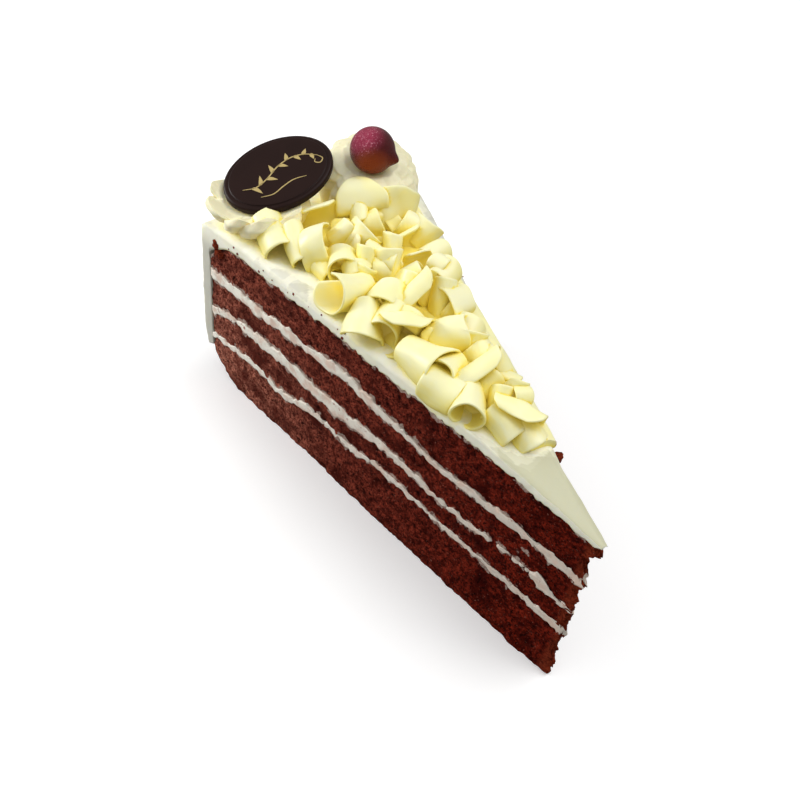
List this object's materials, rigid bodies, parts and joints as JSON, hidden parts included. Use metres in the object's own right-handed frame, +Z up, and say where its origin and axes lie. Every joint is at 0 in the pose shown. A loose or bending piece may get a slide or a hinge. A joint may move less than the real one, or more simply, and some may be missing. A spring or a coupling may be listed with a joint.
{
  "type": "red velvet cake slice",
  "caption": "Slice of a red velvet layer cake with cream fillings, frosting, piped rosettes, white chocolate curls, a chocolate plaque and a chocolate ball.",
  "frame": {"origin": "on the table, under the middle of the slice", "axes": "+X from the rim to the point of the slice, +Y from the near cut face to the far one, +Z up"},
  "size_m": [0.1321, 0.0646, 0.0724],
  "materials": {
    "sponge": "dark brick red crumb",
    "filling": "soft cream cheese filling, cut with crumbs in it",
    "frosting": "smooth cream cheese frosting",
    "rosette": "piped ivory cream",
    "curls": "white chocolate, pale yellow with a soft shine",
    "plaque": "dark chocolate with a gold ornament",
    "ball": "burgundy chocolate with a pearl shine"
  },
  "bodies": {
    "root": {"sponge_bottom": "sponge", "filling_lower": "filling", "sponge_lower": "sponge", "filling_middle": "filling", "sponge_upper": "sponge", "filling_upper": "filling", "sponge_top": "sponge", "frosting": "frosting", "rosette_left": "rosette", "rosette_right": "rosette", "chocolate_curls": "curls", "plaque": "plaque", "ball": "ball"}
  },
  "joints": []
}
